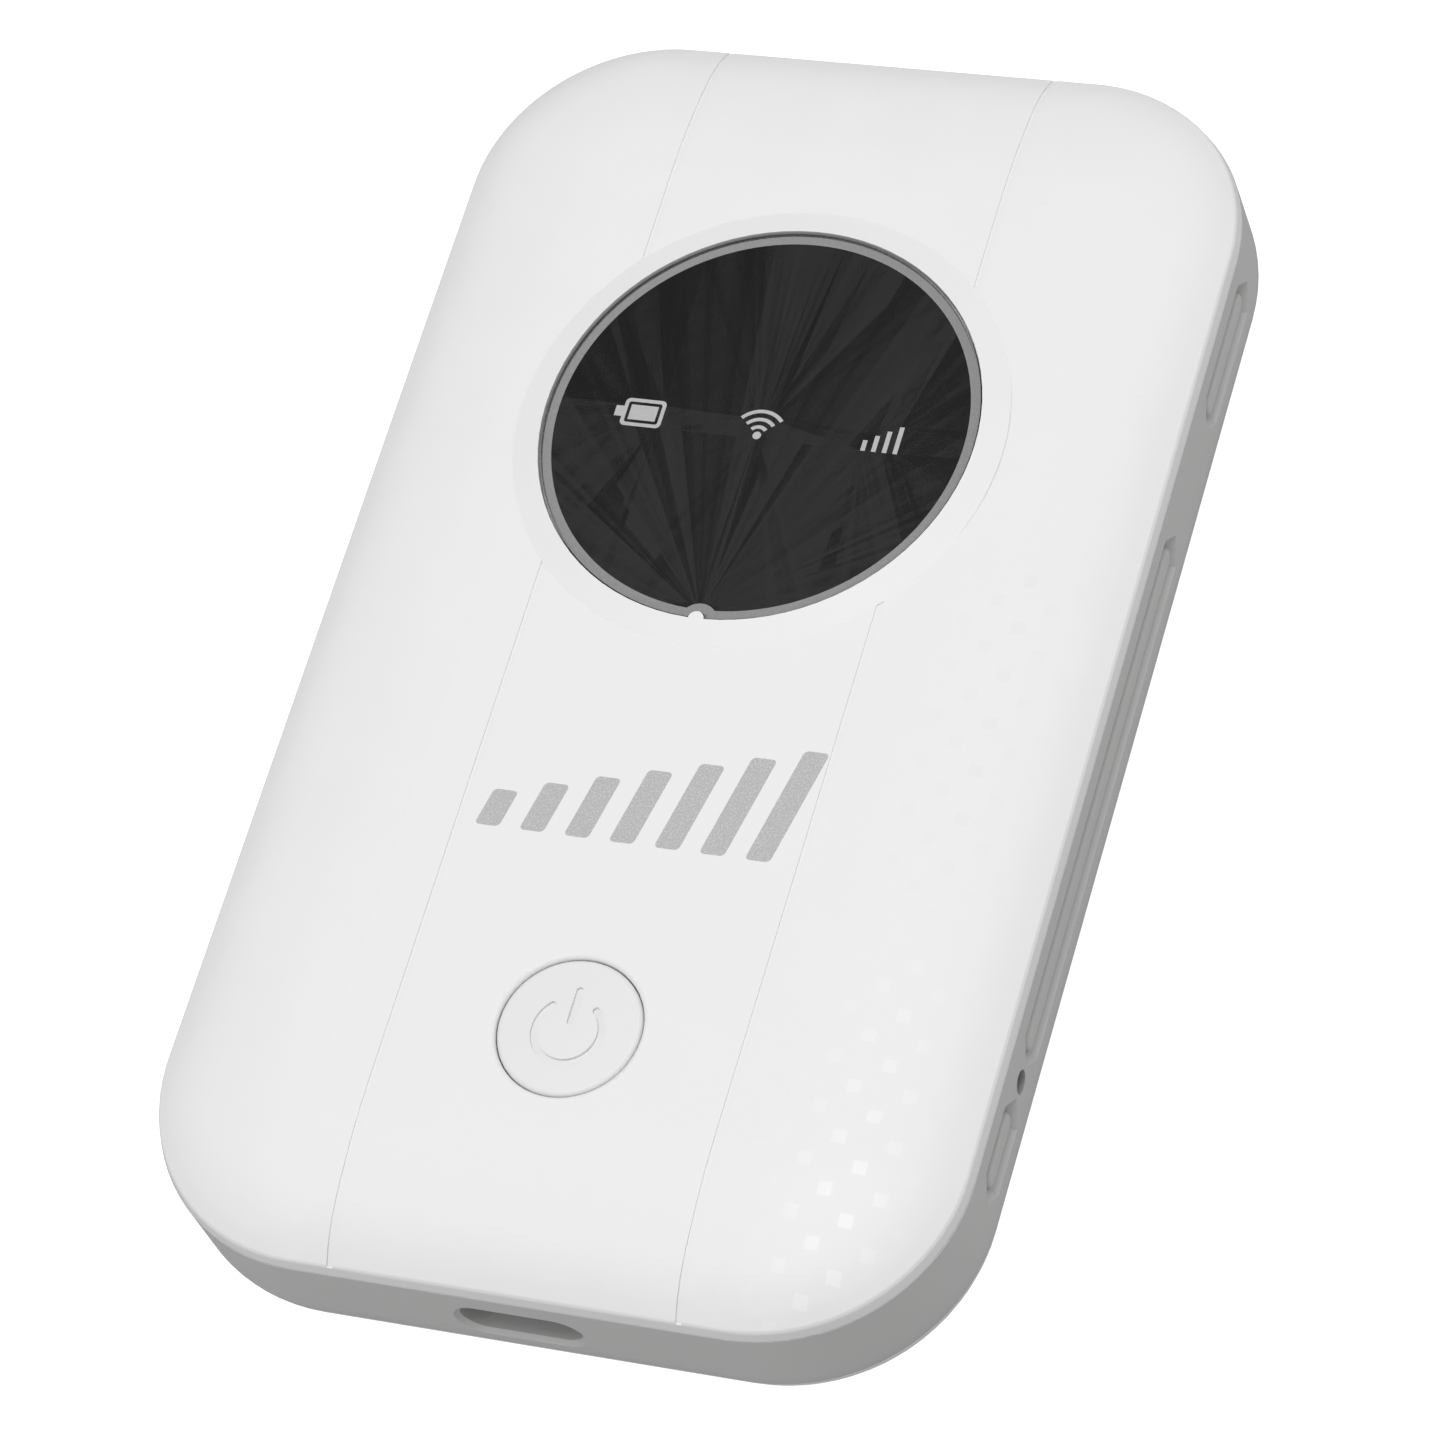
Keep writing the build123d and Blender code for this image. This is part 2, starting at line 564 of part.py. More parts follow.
with BuildPart() as mid_frame:
    slab(0, PARTING_Z)
    fillet(mid_frame.faces().sort_by(Axis.Z)[0].edges(), BACK_EDGE_R)
    fillet(mid_frame.faces().sort_by(Axis.Z)[-1].edges(), TOP_EDGE_R)
    split(bisect_by=Plane.XY.offset(SEAM_Z + SEAM_GAP), keep=Keep.TOP)
    slab(0, DECK_TOP_Z - DECK_T, FRAME_T + TONGUE_T + TONGUE_GAP, mode=Mode.SUBTRACT)
    slab(0, SEAM_Z + TONGUE_H + TONGUE_GAP, FRAME_T, mode=Mode.SUBTRACT)
    for side in (-1, 1):
        for y in SNAP_YS:
            block(side * (WIDTH / 2 - FRAME_T), y, SEAM_Z + SNAP_GAP - TONGUE_GAP, 2 * SNAP_GROOVE_D,
                  SNAP_L + 2 * GAP, SNAP_H + 2 * TONGUE_GAP, mode=Mode.SUBTRACT)
    slab(DECK_TOP_Z, PARTING_Z, FRAME_T, mode=Mode.SUBTRACT)
    # battery bay walls under the deck
    bay_low = SEAM_Z + GAP
    bay_w = BATTERY_W + 2 * BAY_GAP
    bay_l = BATTERY_L + 2 * BAY_GAP
    bay_h = DECK_TOP_Z - DECK_T - bay_low
    block(0, BATTERY_Y, bay_low, bay_w + 2 * BAY_WALL_T, bay_l + 2 * BAY_WALL_T, bay_h)
    block(0, BATTERY_Y, bay_low, bay_w, bay_l, bay_h, mode=Mode.SUBTRACT)
    # windows in the deck: connector, SIM holder, port
    connector_y = BATTERY_Y + bay_l / 2 + BAY_WALL_T + CONNECTOR_L / 2
    block(0, connector_y - BAY_WALL_T, 0, CONNECTOR_W + 2 * WINDOW_GAP, CONNECTOR_L + 2 * BAY_WALL_T + WINDOW_GAP,
          DECK_TOP_Z, mode=Mode.SUBTRACT)
    block(SIM_X, SIM_Y, 0, SIM_W + 2 * WINDOW_GAP, SIM_L + 2 * WINDOW_GAP, DECK_TOP_Z, mode=Mode.SUBTRACT)
    port_y = -LENGTH / 2 + FRAME_T + USB_L / 2
    block(0, port_y, SEAM_Z + TONGUE_H + 2 * TONGUE_GAP, USB_W + 2 * WINDOW_GAP, USB_L + WINDOW_GAP,
          DECK_TOP_Z, mode=Mode.SUBTRACT)
    for x, y in BOSS_SITES:
        disc(x, y, 0, SCREW_HOLE_R, DECK_TOP_Z, mode=Mode.SUBTRACT)
    # port opening with its flared mouth
    stadium(-LENGTH / 2, PORT_W, PORT_H, 2 * FRAME_T, mode=Mode.SUBTRACT)
    stadium(-LENGTH / 2, PORT_W + 2 * PORT_FLARE, PORT_H + 2 * PORT_FLARE, PORT_FLARE, mode=Mode.SUBTRACT,
            taper=PORT_TAPER)
    # reset hole in the right wall
    with BuildSketch(Plane.YZ.offset(WIDTH / 2 - 2 * FRAME_T)):
        with Locations((RESET_Y, RESET_Z)):
            Circle(RESET_HOLE_R)
    extrude(amount=3 * FRAME_T, mode=Mode.SUBTRACT)
    for side in (-1, 1):
        for start, end in CHANNELS:
            grip_channel(side, start, end)
    rib_crests = mid_frame.faces().filter_by(Axis.X).filter_by(
        lambda face: abs(abs(face.center().X) - WIDTH / 2 + RIB_DROP) < TOUCH)
    fillet(rib_crests.edges(), RIB_ROUND)
finish(mid_frame, "mid_frame")


# ---- circuit board and what is on it ------------------------------------------------------------
switch_x = WIDTH / 2 - FRAME_INSIDE - RESET_SWITCH_D / 2 - GAP

with BuildPart() as main_pcb:
    slab(PCB_Z, PCB_TOP_Z, FRAME_INSIDE)
    block(0, -LENGTH / 2, PCB_Z, USB_W + 2 * GAP, 2 * (USB_SET_BACK + USB_L + GAP), PCB_T, mode=Mode.SUBTRACT)
    block(WIDTH / 2, RESET_Y, PCB_Z, 2 * (WIDTH / 2 - switch_x) + RESET_SWITCH_D + 2 * GAP,
          RESET_SWITCH_W + 2 * GAP, PCB_T, mode=Mode.SUBTRACT)
    for x, y in BOSS_SITES:
        disc(x, y, PCB_Z, SCREW_HOLE_R, PCB_T, mode=Mode.SUBTRACT)
finish(main_pcb, "main_pcb")

for name, x, y, width in CHIPS:
    with BuildPart() as chip:
        block(x, y, PCB_TOP_Z, width, width, CHIP_T)
        chamfer(chip.faces().sort_by(Axis.Z)[-1].edges(), CHIP_CHAMFER)
    finish(chip, name)

with BuildPart() as thermal_pad:
    block(CHIPS[0][1], CHIPS[0][2], PCB_TOP_Z + CHIP_T, THERMAL_PAD_W, THERMAL_PAD_W, SHIELD_H - SHIELD_T - CHIP_T)
finish(thermal_pad, "thermal_pad")

for name, x, y, width, length in SHIELDS:
    with BuildPart() as shield:
        block(x, y, PCB_TOP_Z, width, length, SHIELD_H)
        fillet(shield.edges().filter_by(Axis.Z), SHIELD_R)
        fillet(shield.faces().sort_by(Axis.Z)[-1].edges(), SHIELD_T)
        block(x, y, PCB_TOP_Z, width - 2 * SHIELD_T, length - 2 * SHIELD_T, SHIELD_H - SHIELD_T, mode=Mode.SUBTRACT)
    finish(shield, name)

with BuildPart() as small_parts:
    with BuildSketch(Plane.XY.offset(PCB_TOP_Z)):
        with Locations((0, PASSIVE_Y)):
            with GridLocations(PASSIVE_PITCH, PASSIVE_PITCH, PASSIVE_COLUMNS, PASSIVE_ROWS):
                Rectangle(PASSIVE_W, PASSIVE_L)
    extrude(amount=PASSIVE_H)
finish(small_parts, "small_parts")

with BuildPart() as power_inductors:
    with BuildSketch(Plane.XY.offset(PCB_TOP_Z)):
        with Locations(*INDUCTOR_SITES):
            RectangleRounded(INDUCTOR_W, INDUCTOR_W, SHIELD_R)
    extrude(amount=INDUCTOR_T)
finish(power_inductors, "power_inductors")


# ---- reset switch -------------------------------------------------------------------------------
switch_face_x = switch_x + RESET_SWITCH_D / 2

with BuildPart() as reset_switch:
    block(switch_x, RESET_Y, RESET_Z - RESET_SWITCH_H / 2, RESET_SWITCH_D, RESET_SWITCH_W, RESET_SWITCH_H)
    with BuildSketch(Plane.YZ.offset(switch_face_x - PLUNGER_IN - RESET_TRAVEL - TOUCH)):
        with Locations((RESET_Y, RESET_Z)):
            Circle(RESET_TIP_R + BORE_GAP)
    extrude(amount=RESET_SWITCH_D, mode=Mode.SUBTRACT)
finish(reset_switch, "reset_switch")

with BuildPart() as reset_plunger:
    with BuildSketch(Plane.YZ.offset(switch_face_x - PLUNGER_IN)):
        with Locations((RESET_Y, RESET_Z)):
            Circle(RESET_TIP_R)
    extrude(amount=WIDTH / 2 - RESET_TIP_IN - switch_face_x + PLUNGER_IN)
    chamfer(reset_plunger.faces().sort_by(Axis.X)[-1].edges(), BORE_GAP)
finish(reset_plunger, "reset_plunger")


# ---- USB-C receptacle ---------------------------------------------------------------------------
mouth_y = -LENGTH / 2 + USB_SET_BACK

with BuildPart() as usb_shell:
    stadium(mouth_y, USB_W, USB_H, USB_L)
    stadium(mouth_y, USB_W - 2 * USB_T, USB_H - 2 * USB_T, USB_L, mode=Mode.SUBTRACT)
finish(usb_shell, "usb_shell")

with BuildPart() as usb_tongue:
    stadium(mouth_y + USB_L - USB_BASE_L, USB_W - 2 * USB_T, USB_H - 2 * USB_T, USB_BASE_L)
    tongue_y = mouth_y + USB_L - USB_BASE_L - USB_TONGUE_L / 2
    block(0, tongue_y, USB_Z - USB_TONGUE_T / 2, USB_TONGUE_W, USB_TONGUE_L, USB_TONGUE_T)
finish(usb_tongue, "usb_tongue")


# ---- SIM holder, hung under the board -----------------------------------------------------------
sim_low = PCB_Z - SIM_T

with BuildPart() as sim_shell:
    block(SIM_X, SIM_Y, sim_low, SIM_W, SIM_L, SIM_T)
    block(SIM_X, SIM_Y - SIM_STOP_L, sim_low + SIM_SHELL_T, SIM_W - 2 * SIM_SIDE_T, SIM_L, SIM_T, mode=Mode.SUBTRACT)
finish(sim_shell, "sim_shell")

with BuildPart() as sim_base:
    block(SIM_X, SIM_Y - SIM_STOP_L / 2, PCB_Z - SIM_SHELL_T, SIM_W - 2 * SIM_SIDE_T, SIM_L - SIM_STOP_L, SIM_SHELL_T)
finish(sim_base, "sim_base")

with BuildPart() as sim_contacts:
    with BuildSketch(Plane.XY.offset(PCB_Z - SIM_SHELL_T - SIM_PAD_T)):
        with Locations((SIM_X, SIM_Y)):
            with GridLocations(SIM_ROW, SIM_PITCH, SIM_COLUMNS, SIM_ROWS):
                Rectangle(SIM_PAD_L, SIM_PAD_W)
    extrude(amount=SIM_PAD_T)
finish(sim_contacts, "sim_contacts")


# ---- battery connector --------------------------------------------------------------------------
blade_y = connector_y - CONNECTOR_L / 2 - BLADE_L / 2
blade_zs = [CONNECTOR_Z + BLADE_STEP, CONNECTOR_Z + 2 * BLADE_STEP]

with BuildPart() as battery_connector:
    block(0, connector_y, CONNECTOR_Z, CONNECTOR_W, CONNECTOR_L, PCB_Z - CONNECTOR_Z)
    fillet(battery_connector.edges().filter_by(Axis.Z), HOLE_CHAMFER)
finish(battery_connector, "battery_connector")

with BuildPart() as connector_blades:
    for height in blade_zs:
        for pad in range(PAD_COUNT):
            x = (pad - (PAD_COUNT - 1) / 2) * PAD_PITCH
            block(x, blade_y, height, BLADE_W, BLADE_L, BLADE_T)
finish(connector_blades, "connector_blades")


# ---- antennas -----------------------------------------------------------------------------------
for name, x, y, width, length in ANTENNAS:
    with BuildPart() as carrier:
        block(x, y, PCB_TOP_Z, width, length, CARRIER_H)
        fillet(carrier.edges().filter_by(Axis.Z), CARRIER_R)
    finish(carrier, f"{name}_antenna_carrier")

    with BuildPart() as antenna:
        flex_z = PCB_TOP_Z + CARRIER_H
        flex_w = width - 2 * FLEX_INSET
        flex_l = length - 2 * FLEX_INSET
        block(x, y, flex_z, flex_w, flex_l, FLEX_T)
        # two slots leave a meandering strip
        long_x = flex_w > flex_l
        reach = (flex_w if long_x else flex_l) - 2 * FLEX_SLOT_W
        for side in (-1, 1):
            shift = side * (flex_l if long_x else flex_w) * FLEX_SLOT_PLACE
            slide = side * FLEX_SLOT_W
            if long_x:
                block(x + slide, y + shift, flex_z, reach, FLEX_SLOT_W, FLEX_T, mode=Mode.SUBTRACT)
            else:
                block(x + shift, y + slide, flex_z, FLEX_SLOT_W / 2, reach, FLEX_T, mode=Mode.SUBTRACT)
    finish(antenna, f"{name}_antenna")


# ---- screws -------------------------------------------------------------------------------------
with BuildPart() as cover_screws:
    head_top = DECK_TOP_Z - DECK_T
    for x, y in BOSS_SITES:
        disc(x, y, head_top, SCREW_SHANK_R, SCREW_L)
        disc(x, y, head_top - SCREW_HEAD_T, SCREW_HEAD_R, SCREW_HEAD_T)
        block(x, y, head_top - SCREW_HEAD_T, DRIVE_L, DRIVE_W, DRIVE_D, mode=Mode.SUBTRACT)
        block(x, y, head_top - SCREW_HEAD_T, DRIVE_W, DRIVE_L, DRIVE_D, mode=Mode.SUBTRACT)
finish(cover_screws, "cover_screws")


# ---- battery ------------------------------------------------------------------------------------
cell_l = BATTERY_L - CAP_L
cell_y = BATTERY_Y - CAP_L / 2
cap_y = BATTERY_Y + BATTERY_L / 2 - CAP_L / 2

with BuildPart() as battery_cell:
    block(0, cell_y, BATTERY_Z, BATTERY_W, cell_l, BATTERY_T)
    fillet(battery_cell.edges().filter_by(Axis.Y), BATTERY_R)
finish(battery_cell, "battery_cell")

with BuildPart() as battery_end_cap:
    block(0, cap_y, BATTERY_Z, BATTERY_W, CAP_L, BATTERY_T)
    fillet(battery_end_cap.edges().filter_by(Axis.Y), BATTERY_R)
finish(battery_end_cap, "battery_end_cap")

with BuildPart() as battery_pads:
    for pad in range(PAD_COUNT):
        x = (pad - (PAD_COUNT - 1) / 2) * PAD_PITCH
        block(x, BATTERY_Y + BATTERY_L / 2 + FILM_T / 2, BATTERY_Z + BATTERY_T / 2 - PAD_H / 2, PAD_W, FILM_T, PAD_H)
finish(battery_pads, "battery_pads")

with BuildPart() as battery_label:
    block(0, cell_y, BATTERY_Z - FILM_T, BATTERY_W - 2 * LABEL_INSET, cell_l - 2 * LABEL_INSET, FILM_T)
finish(battery_label, "battery_label")


# ---- battery cover ------------------------------------------------------------------------------
with BuildPart() as battery_cover:
    slab(0, PARTING_Z)
    fillet(battery_cover.faces().sort_by(Axis.Z)[0].edges(), BACK_EDGE_R)
    split(bisect_by=Plane.XY.offset(SEAM_Z), keep=Keep.BOTTOM)
    slab(SEAM_Z - TONGUE_H, SEAM_Z + TONGUE_H, FRAME_T + TONGUE_GAP)
    for side in (-1, 1):
        for y in SNAP_YS:
            block(side * (WIDTH / 2 - FRAME_T - TONGUE_GAP), y, SEAM_Z + SNAP_GAP, 2 * SNAP_D, SNAP_L, SNAP_H)
    slab(BACK_T, SEAM_Z + TONGUE_H, FRAME_T + TONGUE_GAP + TONGUE_T, mode=Mode.SUBTRACT)
    fillet(battery_cover.edges().filter_by_position(Axis.Z, BACK_T - TOUCH, BACK_T + TOUCH), BACK_INNER_R)
    block(-WIDTH / 2, 0, SEAM_Z - NOTCH_H, 2 * NOTCH_D, NOTCH_W, NOTCH_H, mode=Mode.SUBTRACT)
finish(battery_cover, "battery_cover")
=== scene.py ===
import json
import math

import bmesh
import bpy
from mathutils import Matrix, Vector


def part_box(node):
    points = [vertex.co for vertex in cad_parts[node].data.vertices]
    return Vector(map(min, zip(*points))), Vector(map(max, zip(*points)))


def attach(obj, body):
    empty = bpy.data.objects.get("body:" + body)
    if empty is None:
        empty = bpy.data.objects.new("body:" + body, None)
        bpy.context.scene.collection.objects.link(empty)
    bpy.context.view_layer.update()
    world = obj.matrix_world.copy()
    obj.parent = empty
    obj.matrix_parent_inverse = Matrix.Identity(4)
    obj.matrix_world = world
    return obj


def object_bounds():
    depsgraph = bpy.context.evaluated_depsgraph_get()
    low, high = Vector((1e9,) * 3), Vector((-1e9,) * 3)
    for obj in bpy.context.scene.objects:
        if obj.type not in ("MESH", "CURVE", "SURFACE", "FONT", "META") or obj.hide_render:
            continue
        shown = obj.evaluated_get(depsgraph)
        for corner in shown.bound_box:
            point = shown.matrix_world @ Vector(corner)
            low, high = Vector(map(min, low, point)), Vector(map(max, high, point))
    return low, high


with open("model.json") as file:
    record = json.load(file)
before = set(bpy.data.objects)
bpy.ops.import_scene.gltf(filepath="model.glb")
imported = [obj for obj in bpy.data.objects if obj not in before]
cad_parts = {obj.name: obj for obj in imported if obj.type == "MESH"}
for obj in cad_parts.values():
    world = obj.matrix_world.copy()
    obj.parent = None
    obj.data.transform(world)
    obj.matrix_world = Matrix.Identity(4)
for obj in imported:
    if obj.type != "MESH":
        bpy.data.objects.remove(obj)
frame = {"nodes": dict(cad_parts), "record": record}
cad_low, cad_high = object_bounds()

MM = 0.001

# ---- view and light: the photograph's viewing angle, in degrees and metres ----------------------
VIEW_AZIMUTH = 39.32
VIEW_ELEVATION = 56.25
VIEW_ROLL = -27.1
VIEW_DISTANCE = 0.4552
VIEW_TARGET = (2.55 * MM, -5.26 * MM, 11.4 * MM)
LENS_MM = 155.5
SENSOR_MM = 36.0


def face_height():
    """Height of the cover's flat face, found from its highest vertices away from the collar."""
    cover = frame["nodes"]["front_cover"]
    heights = [
        (cover.matrix_world @ vertex.co).z
        for vertex in cover.data.vertices
        if (cover.matrix_world @ vertex.co).y < cad_low.y / 4
    ]
    return max(heights)


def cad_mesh(name, mesh, material):
    """Turns a bmesh into an object with one material."""
    data = bpy.data.meshes.new(name)
    mesh.to_mesh(data)
    mesh.free()
    data.materials.append(material)
    made = bpy.data.objects.new(name, data)
    bpy.context.scene.collection.objects.link(made)
    return made


# ---- node helpers -------------------------------------------------------------------------------
class Shader:
    """A small builder for one procedural material on a Principled BSDF."""

    def __init__(self, name, color, roughness, **sockets):
        self.material = bpy.data.materials.new(name)
        self.material.use_nodes = True
        self.tree = self.material.node_tree
        self.bsdf = self.tree.nodes["Principled BSDF"]
        self.bsdf.inputs["Base Color"].default_value = (*color, 1)
        self.bsdf.inputs["Roughness"].default_value = roughness
        for socket, value in sockets.items():
            self.bsdf.inputs[socket.replace("_", " ")].default_value = value
        self.color = color
        self.roughness = roughness
        self.place = self.node("ShaderNodeTexCoord").outputs["Object"]

    def node(self, kind, **settings):
        made = self.tree.nodes.new(kind)
        for key, value in settings.items():
            setattr(made, key, value)
        return made

    def link(self, source, target):
        self.tree.links.new(source, target)

    def math(self, operation, *values):
        made = self.node("ShaderNodeMath", operation=operation)
        for slot, value in zip(made.inputs, values):
            if isinstance(value, (int, float)):
                slot.default_value = value
            else:
                self.link(value, slot)
        return made.outputs[0]

    def noise(self, size_mm, detail=3.0, stretch=(1, 1, 1)):
        """Noise whose features are about size_mm across."""
        mapping = self.node("ShaderNodeMapping")
        mapping.inputs["Scale"].default_value = stretch
        self.link(self.place, mapping.inputs["Vector"])
        made = self.node("ShaderNodeTexNoise")
        made.inputs["Scale"].default_value = 1 / (size_mm * MM)
        made.inputs["Detail"].default_value = detail
        self.link(mapping.outputs["Vector"], made.inputs["Vector"])
        return made.outputs["Fac"]

    def ramp(self, value, low, high, out_low, out_high):
        made = self.node("ShaderNodeMapRange")
        for key, number in (("From Min", low), ("From Max", high), ("To Min", out_low), ("To Max", out_high)):
            made.inputs[key].default_value = number
        self.link(value, made.inputs["Value"])
        return made.outputs["Result"]

    def mix(self, factor, first, second):
        made = self.node("ShaderNodeMix", data_type="RGBA")
        self.link(factor, made.inputs["Factor"])
        for slot, value in ((made.inputs["A"], first), (made.inputs["B"], second)):
            if isinstance(value, tuple):
                slot.default_value = (*value, 1)
            else:
                self.link(value, slot)
        return made.outputs["Result"]

    def mottle(self, size_mm, amount, roughness_amount=0.06):
        """Faint variation of colour and of roughness."""
        cloud = self.noise(size_mm, 4.0)
        darker = tuple(c * (1 - amount) for c in self.color)
        lighter = tuple(min(1.0, c * (1 + amount)) for c in self.color)
        color = self.mix(cloud, darker, lighter)
        self.link(color, self.bsdf.inputs["Base Color"])
        smoother = self.roughness - roughness_amount
        rougher = self.roughness + roughness_amount
        rough = self.ramp(cloud, 0.3, 0.7, smoother, rougher)
        self.link(rough, self.bsdf.inputs["Roughness"])
        return color, rough

    def grain(self, size_mm, depth_mm, strength=1.0, stretch=(1, 1, 1)):
        """Fine surface relief."""
        bump = self.node("ShaderNodeBump")
        bump.inputs["Strength"].default_value = strength
        bump.inputs["Distance"].default_value = depth_mm * MM
        self.link(self.noise(size_mm, 2.0, stretch), bump.inputs["Height"])
        self.link(bump.outputs["Normal"], self.bsdf.inputs["Normal"])
        return bump


# ---- materials ----------------------------------------------------------------------------------
def moulded(name, color, roughness=0.42, grain_mm=0.12, depth_mm=0.004, mottle=0.012):
    """Satin moulded plastic with a fine spark-eroded texture."""
    shader = Shader(name, color, roughness, Specular_IOR_Level=0.45)
    shader.mottle(6.0, mottle)
    shader.grain(grain_mm, depth_mm)
    return shader


def metal(name, color, roughness=0.3, brushed=(1, 8, 1), depth_mm=0.003):
    """Stamped or brushed metal, with streaks along one way."""
    shader = Shader(name, color, roughness, Metallic=1.0)
    shader.mottle(3.0, 0.02, 0.03)
    shader.grain(0.5, depth_mm, stretch=brushed)
    return shader


CREVICE_MM = 1.6
CREVICE_PAINTED_SHADE = 0.55


def side_white_painted_shade():
    """The side frame's white plastic, painted darker than the cover as shade, with painted shade deep in its
    channels.
    """
    # the white plastic's colour is painted darker here as shade on the upright walls
    shader = moulded("side_white_painted_shade", (0.58, 0.58, 0.575), 0.45)
    base = shader.bsdf.inputs["Base Color"].links[0].from_socket
    # ambient occlusion paints shade into the colour deep in the channels
    open_share = shader.node("ShaderNodeAmbientOcclusion", samples=8)
    open_share.inputs["Distance"].default_value = CREVICE_MM * MM
    shade = shader.ramp(open_share.outputs["AO"], 0.45, 0.95, 1 - CREVICE_PAINTED_SHADE, 0.0)
    channel_painted_shade = (0.20, 0.20, 0.195)
    shader.link(shader.mix(shade, base, channel_painted_shade), shader.bsdf.inputs["Base Color"])
    return shader.material


SQUARE_PITCH = 1.975
SQUARE_HALF = 0.5
SQUARE_COLUMN_X = 23.8
SQUARE_ROW_Y = -43.93
SQUARES_TOP_Y = 8.8
SQUARES_LOW_Z = 12.5
SQUARES_RISE_X = (17.5, 23.0)
SQUARES_FALL_X = (24.0, 28.5)
SQUARES_HIGHLIGHT_Y = (-41.0, -20.0)
SQUARES_SHADE_Y = (-26.0, -14.0)
# strengths of the painted highlight and painted shade on the squares
SQUARE_HIGHLIGHT = 0.32
SQUARE_SHADE = 0.35
SQUARE_POLISH = 0.12


def front_white():
    """The cover's white plastic, with its staggered lattice of small glossy squares on the right panel."""
    shader = moulded("front_white", (0.80, 0.80, 0.80), 0.5)
    shader.bsdf.inputs["Specular IOR Level"].default_value = 0.3
    split = shader.node("ShaderNodeSeparateXYZ")
    shader.link(shader.place, split.inputs[0])
    cells = []
    near = []
    for output, start in ((split.outputs["X"], SQUARE_COLUMN_X), (split.outputs["Y"], SQUARE_ROW_Y)):
        steps = shader.math("DIVIDE", shader.math("SUBTRACT", output, start * MM), SQUARE_PITCH * MM)
        cell = shader.math("ROUND", steps)
        away = shader.math("ABSOLUTE", shader.math("SUBTRACT", steps, cell))
        near.append(shader.math("LESS_THAN", away, SQUARE_HALF / SQUARE_PITCH))
        cells.append(cell)
    parity = shader.math("PINGPONG", shader.math("ADD", *cells), 1.0)
    even = shader.math("LESS_THAN", parity, 0.5)
    rise = shader.ramp(split.outputs["X"], SQUARES_RISE_X[0] * MM, SQUARES_RISE_X[1] * MM, 0.0, 1.0)
    fall = shader.ramp(split.outputs["X"], SQUARES_FALL_X[0] * MM, SQUARES_FALL_X[1] * MM, 1.0, 0.0)
    below = shader.math("LESS_THAN", split.outputs["Y"], SQUARES_TOP_Y * MM)
    mask = shader.math("MULTIPLY", near[0], near[1])
    above = shader.math("GREATER_THAN", split.outputs["Z"], SQUARES_LOW_Z * MM)
    for factor in (even, rise, fall, below, above):
        mask = shader.math("MULTIPLY", mask, factor)
    base = shader.bsdf.inputs["Base Color"].links[0].from_socket
    rough = shader.bsdf.inputs["Roughness"].links[0].from_socket
    # painted highlight on the squares towards the port end, painted shade a little darker than the face
    # towards the display
    square_highlight = shader.ramp(
        split.outputs["Y"], SQUARES_HIGHLIGHT_Y[0] * MM, SQUARES_HIGHLIGHT_Y[1] * MM, SQUARE_HIGHLIGHT, 0.0
    )
    square_shade = shader.ramp(split.outputs["Y"], SQUARES_SHADE_Y[0] * MM, SQUARES_SHADE_Y[1] * MM, 0.0, SQUARE_SHADE)
    # lit and shaded copies of the squares' colour: painted highlight, then painted shade
    lit = shader.mix(shader.math("MULTIPLY", mask, square_highlight), base, (0.95, 0.95, 0.95))
    shaded = shader.mix(shader.math("MULTIPLY", mask, square_shade), lit, (0.74, 0.74, 0.74))
    shader.link(shaded, shader.bsdf.inputs["Base Color"])
    polish = shader.math("MULTIPLY", mask, SQUARE_POLISH)
    shader.link(shader.math("SUBTRACT", rough, polish), shader.bsdf.inputs["Roughness"])
    return shader.material


def ink(name, color, roughness, sparkle=0.0, gloss=0.1):
    """Printed ink with a fine sparkle of flakes."""
    shader = Shader(name, color, roughness, Specular_IOR_Level=gloss)
    flakes = shader.noise(0.12, 1.0)
    bright = tuple(min(1.0, c * (1 + 2.5 * sparkle)) for c in color)
    glitter = shader.mix(shader.ramp(flakes, 0.52, 0.62, 0.0, 1.0), color, bright)
    shader.link(glitter, shader.bsdf.inputs["Base Color"])
    shader.link(shader.node("ShaderNodeNewGeometry").outputs["True Normal"], shader.bsdf.inputs["Normal"])
    return shader.material


